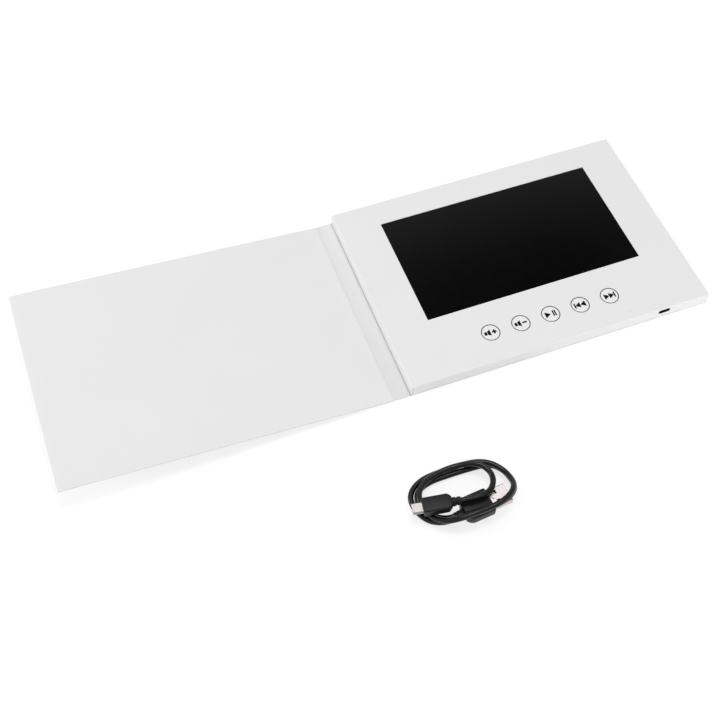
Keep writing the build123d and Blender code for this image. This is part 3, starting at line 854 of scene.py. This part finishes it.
class BROCHURE_OT_face(bpy.types.Operator):
    """Finish the face card with its window, and the socket in its front"""

    bl_idname = "brochure.face"
    bl_label = "Face and socket"

    def execute(self, context):
        card = context.scene.brochure_card
        spots = [(*at, BLOCK_TOP) for at in (PRESSED_AT, (SENSOR_X, SENSOR_Y))]
        dress_nodes(card_finish("face_card_film", card.white, spots), "face_card")
        lip = window_lip()
        dress(lip, card_finish("window_edge", card.white))
        # Painted shadow lines at the block's left corners, where the card's flaps meet.
        seam_shadows = corner_seams()
        dress(seam_shadows, board_edge_finish("seam_shadow", (0.12, 0.12, 0.12)))
        lining = port_lining()
        dress(lining, moulded_finish("port_lining", (0.006, 0.006, 0.006)))
        for piece in (lip, seam_shadows, lining):
            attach(piece, "block")
        dress_nodes(screen_finish(), "lcd_glass")
        # The socket's steel is near black: painted shade of the slot it sits in.
        dress_nodes(metal_finish("socket_steel", (0.06, 0.06, 0.062), rough=(0.35, 0.5)),
                    "usb_socket_shell")
        dress_nodes(moulded_finish("socket_tongue", (0.008, 0.008, 0.008)), "usb_socket_tongue")
        return {"FINISHED"}


def corner_seams():
    """Dark lines down the left wall's two ends, where the folded face card's flaps meet: painted
    shadow of the flap's step.
    """
    across, proud, deep = (0.95, 1.12), 0.012, 0.1
    outlines = [box_outline(*across, -proud, deep),
                box_outline(*across, BLOCK_D - deep, BLOCK_D + proud)]
    return prisms("corner_seams", outlines, (CARD + 0.02, BLOCK_TOP - 0.35), from_block)


def port_lining():
    """Black lining of the socket's slot: a thin wall round a rounded rectangle, with a flat lip on
    the front face, carried back to the socket."""
    middle, level, width, tall, corner = PORT
    lip, gap, wall, proud, seat, depth = 0.22, 0.002, 0.07, -0.015, -0.001, 0.5
    path = ((lip, seat), (lip, proud), (-wall, proud), (-wall, depth), (-gap, depth),
            (-gap, seat))
    rings = [ring_section(width / 2 + out, tall / 2 + out, corner + out) for out, _ in path]
    count = len(rings[0])
    points = np.concatenate([
        np.column_stack([middle + ring[:, 0], np.full(count, y), level + ring[:, 1]])
        for ring, (_, y) in zip(rings, path)])
    return make_object("port_lining", from_block(points), hoop_faces(len(path), count),
                       smooth=False)


def window_lip():
    """The window's cut edge: a thin rounded strip carried round the window's four sides."""
    thick = 0.12
    left, front, width, depth = WINDOW
    low, high = BLOCK_TOP - FACE_CARD, BLOCK_TOP - 0.02
    turn = np.linspace(0, math.pi / 2, 6)
    inset = np.concatenate([[0, thick], thick * np.cos(turn)])
    height = np.concatenate([[low, low], high - thick + thick * np.sin(turn)])
    corners = np.array(box_outline(left, left + width, front, front + depth))
    inward = np.array([(1, 1), (-1, 1), (-1, -1), (1, -1)])
    flat = corners[:, None, :] + inward[:, None, :] * inset[None, :, None]
    points = np.concatenate([flat, np.tile(height[:, None], (4, 1, 1))], axis=-1)
    return make_object("window_lip", from_block(points.reshape(-1, 3)),
                       hoop_faces(4, len(inset)), smooth=False)


def box_outline(x0, x1, y0, y1):
    """A rectangle's corners, anticlockwise from the front left."""
    return [(x0, y0), (x1, y0), (x1, y1), (x0, y1)]


# -------- buttons


def arrow(base, tip, half):
    """A triangle that points from its base to its tip, anticlockwise."""
    half = math.copysign(half, tip - base)
    return [(base, -half), (tip, 0), (base, half)]


# Outlines measured from the button's middle
LOUDSPEAKER = [box_outline(-4.3, -2.43, -1.3, 1.3),
               [(-2.1, -1.3), (-0.05, -2.48), (-0.05, 2.48), (-2.1, 1.3)]]
SYMBOLS = {
    "volume_up": LOUDSPEAKER + [box_outline(0.92, 4.08, -0.58, 0.58),
                                box_outline(1.92, 3.08, 0.58, 1.66),
                                box_outline(1.92, 3.08, -1.66, -0.58)],
    "volume_down": LOUDSPEAKER + [box_outline(1.05, 4.15, -0.6, 0.6)],
    "play_pause": [arrow(-3.8, 0.05, 2.4), box_outline(1.4, 2.36, -2.2, 2.2),
                   box_outline(2.72, 3.68, -2.2, 2.2)],
    "previous": [box_outline(-4.2, -3.2, -2.1, 2.1), arrow(0.1, -3.55, 2.3),
                 arrow(3.8, 0.1, 2.3)],
    "next": [arrow(-3.7, 0.0, 2.3), arrow(-0.15, 3.4, 2.3), box_outline(3.1, 4.1, -2.1, 2.1)],
}


class BROCHURE_OT_buttons(bpy.types.Operator):
    """Build the five buttons and their print"""

    bl_idname = "brochure.buttons"
    bl_label = "Buttons"

    def execute(self, context):
        card = context.scene.brochure_card
        white = card_finish("button_card", card.cap)
        ink = ink_finish(card.ink)
        low, top, soft, bevel = BLOCK_TOP - FACE_CARD, BLOCK_TOP, 0.1, 0.02
        turn = np.linspace(0, math.pi / 2, 5)
        profile = np.concatenate([
            [(low, 0), (low, CAP_R - bevel), (low + bevel, CAP_R)],
            np.column_stack([top - soft + soft * np.sin(turn),
                             CAP_R - soft + soft * np.cos(turn)]),
            [(top, CAP_R * 0.6), (top, 0)]])
        for number, name in enumerate(BUTTON_NAMES):
            centre = from_block((FACE_MIDDLE + BUTTON_PITCH * (number - 2), BUTTON_Y, 0))

            def upright(points, middle=centre):
                return points[:, [1, 2, 0]] + middle

            def across(points, middle=centre):
                return points + middle

            cap = turned(f"cap_{name}", profile, upright, segments=96)
            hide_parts(f"button_cap_{name}")
            ring = washer(f"cap_ring_{name}", centre, [CAP_R - inset for inset in RING_INSET],
                          (top - SUNK, top + RING_PROUD))
            symbol = prisms(f"symbol_{name}", SYMBOLS[name], (top - SUNK, top + SYMBOL_PROUD),
                            across)
            for piece, finish in ((cap, white), (ring, ink), (symbol, ink)):
                dress(piece, finish)
                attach(piece, f"button_{name}")
            # A dark ring of the ink material lines each hole and its rim: painted shadow in the
            # gap round the cap.
            gap_shadow = washer(f"hole_ring_{name}", centre, [HOLE_R + out for out in HOLE_SHADOW_RING],
                            (low, top + RING_PROUD))
            dress(gap_shadow, ink)
            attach(gap_shadow, "block")
        return {"FINISHED"}


# -------- inside the block


class BROCHURE_OT_inside(bpy.types.Operator):
    """Finish the parts inside the block"""

    bl_idname = "brochure.inside"
    bl_label = "Inside"

    def execute(self, context):
        black = moulded_finish("black_moulding", (0.02, 0.02, 0.02))
        foam = moulded_finish("foam", (0.05, 0.05, 0.05), rough=(0.8, 0.95), grain=0.4, depth=0.08)
        for name in BUTTON_NAMES:
            dress_nodes(foam, f"button_pad_{name}")
            dress_nodes(black, f"switch_stem_{name}")
        dress_nodes(black, "board_chips", "opening_sensor", "switch_bodies")
        dress_nodes(foam, "board_pads", "speaker_gasket", "button_board_pad")
        dress_nodes(board_edge_finish("greyboard", (0.45, 0.43, 0.40)), "perimeter_spacer",
                    "screen_spacer")
        dress_nodes(metal_finish("screen_case_steel", (0.6, 0.6, 0.61)), "lcd_metal_case")
        dress_nodes(moulded_finish("light_guide", (0.8, 0.8, 0.82), rough=(0.1, 0.2)),
                    "lcd_light_guide")
        dress_nodes(moulded_finish("polyimide", (0.55, 0.27, 0.06), rough=(0.2, 0.3)),
                    "lcd_flex_cable", "button_ribbon")
        dress_nodes(moulded_finish("solder_mask", (0.03, 0.16, 0.07), rough=(0.25, 0.4)),
                    "main_board", "button_board")
        dress_nodes(metal_finish("battery_foil", (0.66, 0.67, 0.69), rough=(0.35, 0.5)),
                    "battery_cell")
        dress_nodes(moulded_finish("wire_jacket", (0.5, 0.03, 0.03)), "battery_leads",
                    "speaker_leads")
        dress_nodes(moulded_finish("speaker_paint", (0.12, 0.12, 0.12)), "speaker_basket")
        dress_nodes(board_edge_finish("speaker_pulp", (0.1, 0.09, 0.08)), "speaker_cone")
        return {"FINISHED"}


# -------- stage

CAMERA_STAND = (-163.1, -335.2, 610.0)  # from the block's front left corner
CAMERA_TURN = (20.99, 56.90, 0.70)  # degrees of heading, tilt down and roll
SENSOR_W = 36
FLOOR_HALF = 6000
FLOOR_BELOW = 0.05  # so that nothing lies in the floor itself
LAMPS = (  # place, aim and width in metres; the low ones are left out of reflections
    ("key", (0.12, 0.12, 1.5), (0, 0, 0), 0.5, True),
    ("left", (-0.74, 0.28, 0.18), (0, 0.02, 0), 0.3, True),
    ("front", (0.30, -0.30, 0.035), (0.11, -0.074, 0.004), 0.06, False),
    ("fill", (-0.22, -0.54, 0.04), (-0.02, -0.074, 0.004), 0.12, False),
)


class BROCHURE_OT_stage(bpy.types.Operator):
    """Set up the camera, the floor and the light"""

    bl_idname = "brochure.stage"
    bl_label = "Stage"

    def execute(self, context):
        stage = context.scene.brochure_stage
        place_camera(context.scene, stage.lens)
        corners = np.array(box_outline(-1, 1, -1, 1)) * FLOOR_HALF
        corners = np.column_stack([corners, np.full(4, -FLOOR_BELOW)])
        floor = make_object("floor", corners, [(0, 1, 2, 3)])
        dress(floor, floor_finish())
        light_world(context.scene, stage.sky)
        for name, place, aim, width, gloss in LAMPS:
            soft_lamp(f"{name}_lamp", place, aim, width, getattr(stage, name), gloss)
        context.scene.view_settings.view_transform = "Standard"
        return {"FINISHED"}


def place_camera(scene, lens):
    """Camera by where it stands and its heading, tilt down and small roll."""
    heading, down, roll = np.radians(CAMERA_TURN)
    ahead = Vector((math.sin(heading) * math.cos(down), math.cos(heading) * math.cos(down),
                    -math.sin(down)))
    right = Vector((math.cos(heading), -math.sin(heading), 0))
    up = right.cross(ahead)
    right, up = (math.cos(roll) * right + math.sin(roll) * up,
                 math.cos(roll) * up - math.sin(roll) * right)
    data = bpy.data.cameras.new("camera")
    data.lens = lens
    data.sensor_width = SENSOR_W
    data.clip_start = 0.01
    camera = in_scene("camera", data)
    turn = Matrix((right, up, -ahead)).transposed().to_4x4()
    stand = Vector(from_block(CAMERA_STAND) * MM)
    camera.matrix_world = Matrix.Translation(stand) @ turn
    scene.camera = camera


def floor_finish():
    """Pale floor: diffuse for the light it throws back; where it is looked at, white of its own
    with enough diffuse left in it to keep the object's shadow."""
    material = bpy.data.materials.new("pale_floor")
    tree = empty_tree(material)
    path = add_node(tree, "ShaderNodeLightPath").outputs
    seen = maths(tree, "MAXIMUM", path["Is Camera Ray"], path["Is Glossy Ray"])
    seen = maths(tree, "MAXIMUM", seen, path["Is Transmission Ray"])
    plain = add_node(tree, "ShaderNodeBsdfDiffuse", {"Color": (0.86, 0.86, 0.86, 1)})
    shadowed = add_node(tree, "ShaderNodeBsdfDiffuse", {"Color": (0.34, 0.34, 0.34, 1)})
    white = add_node(tree, "ShaderNodeEmission", {"Color": (1, 1, 1, 1), "Strength": 0.72})
    both = add_node(tree, "ShaderNodeAddShader", {0: shadowed.outputs[0], 1: white.outputs[0]})
    mixed = add_node(tree, "ShaderNodeMixShader", {0: seen, 1: plain.outputs[0],
                                                   2: both.outputs[0]})
    add_node(tree, "ShaderNodeOutputMaterial", {"Surface": mixed.outputs[0]})
    return material


def light_world(scene, sky):
    """White surround with one dark panel in it, high behind the block, that the screen shows: a
    long ellipse about a direction, dark inside and fading slowly above, sooner below."""
    middle = Vector((0.342, 0.50, 0.793)).normalized()
    side = Vector((0.945, -0.197, -0.26))
    long, below = 3.0, 2.0  # its length over its width, and how much sooner it fades below
    fade, dark = (0.011, 0.163), 0.04
    world = bpy.data.worlds.new("surround")
    tree = empty_tree(world)
    side = (side - side.dot(middle) * middle).normalized()
    direction = add_node(tree, "ShaderNodeTexCoord").outputs["Generated"]

    def part(axis):
        """How far the direction looked in goes along an axis."""
        return add_node(tree, "ShaderNodeVectorMath", {0: direction, 1: tuple(axis)},
                        operation="DOT_PRODUCT").outputs["Value"]

    along = maths(tree, "DIVIDE", part(side), long)
    up = part(middle.cross(side))
    up = maths(tree, "MAXIMUM", up, maths(tree, "MULTIPLY", up, -below))
    squares = [maths(tree, "MULTIPLY", value, value) for value in (along, up)]
    apart = maths(tree, "SQRT", maths(tree, "ADD", *squares))
    level = add_node(tree, "ShaderNodeMapRange", {
        "Value": apart, "From Min": fade[0], "From Max": fade[1], "To Min": dark, "To Max": sky},
        interpolation_type="SMOOTHSTEP").outputs["Result"]
    path = add_node(tree, "ShaderNodeLightPath")
    level = add_node(tree, "ShaderNodeMix", {0: path.outputs["Is Camera Ray"], 2: level, 3: 1.0},
                     data_type="FLOAT").outputs[0]
    shade = add_node(tree, "ShaderNodeBackground", {"Color": (1, 1, 1, 1), "Strength": level})
    add_node(tree, "ShaderNodeOutputWorld", {"Surface": shade.outputs[0]})
    scene.world = world


def soft_lamp(name, place, target, width, power, gloss):
    """A square lamp aimed at a target. It isn't seen, and is mirrored only with gloss."""
    data = bpy.data.lights.new(name, "AREA")
    data.shape = "SQUARE"
    data.size = width
    data.energy = power
    lamp = in_scene(name, data)
    turn = (Vector(target) - Vector(place)).to_track_quat("-Z", "Y")
    lamp.matrix_world = Matrix.Translation(place) @ turn.to_matrix().to_4x4()
    lamp.visible_camera = False
    lamp.visible_glossy = gloss


# -------- add-on


class BROCHURE_PT_panel(bpy.types.Panel):
    """The brochure's settings and its pieces"""

    bl_idname = "BROCHURE_PT_panel"
    bl_label = "Video brochure"
    bl_space_type = "VIEW_3D"
    bl_region_type = "UI"
    bl_category = "Brochure"

    def draw(self, context):
        scene = context.scene
        for group in (scene.brochure_card, scene.brochure_lead, scene.brochure_stage):
            box = self.layout.box()
            for name in group.bl_rna.properties.keys():
                if name not in ("name", "rna_type"):
                    box.prop(group, name)
        for operator in OPERATORS:
            self.layout.operator(operator.bl_idname)


OPERATORS = (
    BROCHURE_OT_stage,
    BROCHURE_OT_lead_cord,
    BROCHURE_OT_lead_metal,
    BROCHURE_OT_case,
    BROCHURE_OT_face,
    BROCHURE_OT_buttons,
    BROCHURE_OT_inside,
)
SETTINGS = {
    "brochure_card": BrochureCardSettings,
    "brochure_lead": BrochureLeadSettings,
    "brochure_stage": BrochureStageSettings,
}
CLASSES = (*SETTINGS.values(), *OPERATORS, BROCHURE_PT_panel)


def register():
    """Registers every class and gives the scene its settings."""
    for each in CLASSES:
        bpy.utils.register_class(each)
    for name, group in SETTINGS.items():
        setattr(bpy.types.Scene, name, bpy.props.PointerProperty(type=group))


def unregister():
    """Takes away what register added, the last first."""
    for name in reversed(SETTINGS):
        delattr(bpy.types.Scene, name)
    for each in reversed(CLASSES):
        bpy.utils.unregister_class(each)


def main():
    """Builds everything through the operators."""
    register()
    bpy.ops.brochure.stage()
    bpy.ops.brochure.lead_cord()
    bpy.ops.brochure.lead_metal()
    bpy.ops.brochure.case()
    bpy.ops.brochure.face()
    bpy.ops.brochure.buttons()
    bpy.ops.brochure.inside()


if __name__ == "__main__":
    main()
